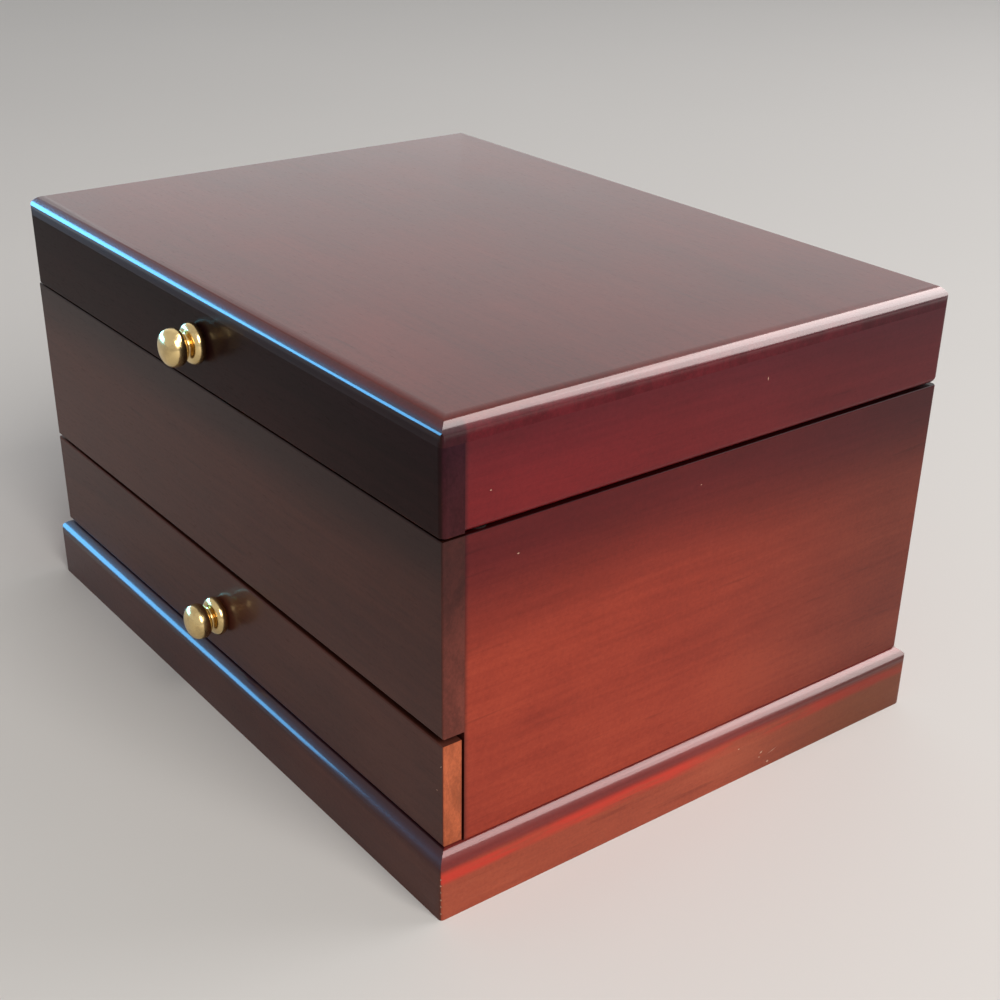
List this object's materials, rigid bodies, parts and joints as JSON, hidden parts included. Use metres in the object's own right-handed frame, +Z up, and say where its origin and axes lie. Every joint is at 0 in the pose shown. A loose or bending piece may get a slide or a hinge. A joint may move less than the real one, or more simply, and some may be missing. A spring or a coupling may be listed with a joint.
{
  "type": "ring box with drawer",
  "caption": "Wooden ring box with a hinged lid over padded ring rolls, a mirror inside the lid and a lined drawer with a small knob.",
  "frame": {"origin": "middle of the box's footprint, on the surface that it stands on", "axes": "+Z up, +X to the right seen from the front, -Y out of the front with the two knobs"},
  "size_m": [0.236, 0.1873, 0.135],
  "materials": {
    "stained_wood": "dark red-brown stain under semi-gloss lacquer",
    "plain_wood": "thin red-brown stain, satin",
    "plywood": "sanded, thin stain",
    "velvet": "short-pile velvet",
    "felt": "wool felt",
    "mirror_glass": "silvered float glass",
    "brass": "polished, lacquered",
    "steel_screw": "zinc plated"
  },
  "bodies": {
    "case": {"plinth_front": "stained_wood", "plinth_back": "stained_wood", "plinth_left": "stained_wood", "plinth_right": "stained_wood", "drawer_deck": "plywood", "underside_board": "plywood", "base_felt": "felt", "case_side_left": "stained_wood", "case_side_right": "stained_wood", "case_back": "stained_wood", "upper_front": "stained_wood", "compartment_floor": "plywood", "drawer_stop_blocks": "plain_wood", "lining_floor": "velvet", "lining_front": "velvet", "lining_back": "velvet", "lining_left": "velvet", "lining_right": "velvet", "ring_roll_1": "velvet", "ring_roll_2": "velvet", "ring_roll_3": "velvet", "ring_roll_4": "velvet", "ring_roll_5": "velvet", "ring_roll_6": "velvet", "ring_roll_7": "velvet", "ring_roll_8": "velvet", "lid_bumpers": "felt", "hinge_case_leaf_left": "brass", "hinge_case_leaf_right": "brass", "hinge_pin_left": "brass", "hinge_pin_right": "brass", "hinge_screws_case": "brass"},
    "lid": {"lid_top": "stained_wood", "lid_front": "stained_wood", "lid_side_left": "stained_wood", "lid_side_right": "stained_wood", "lid_back": "stained_wood", "lid_padded_frame": "velvet", "lid_mirror": "mirror_glass", "hinge_lid_leaf_left": "brass", "hinge_lid_leaf_right": "brass", "hinge_screws_lid": "brass", "lid_knob": "brass", "lid_knob_screw": "steel_screw"},
    "drawer": {"drawer_front": "stained_wood", "drawer_side_left": "plain_wood", "drawer_side_right": "plain_wood", "drawer_back": "plain_wood", "drawer_bottom": "plywood", "drawer_lining_floor": "velvet", "drawer_lining_front": "velvet", "drawer_lining_back": "velvet", "drawer_lining_left": "velvet", "drawer_lining_right": "velvet", "drawer_divider": "stained_wood", "drawer_knob": "brass", "drawer_knob_screw": "steel_screw"}
  },
  "joints": [
    {"name": "lid_hinge", "type": "hinge", "parent": "case", "child": "lid", "pos_m": [0, 0.08745, 0.1063], "axis": [-1, 0, 0], "range_deg": [0, 95]},
    {"name": "drawer_slide", "type": "slide", "parent": "case", "child": "drawer", "axis": [0, -1, 0], "range_m": [0, 0.12]}
  ]
}
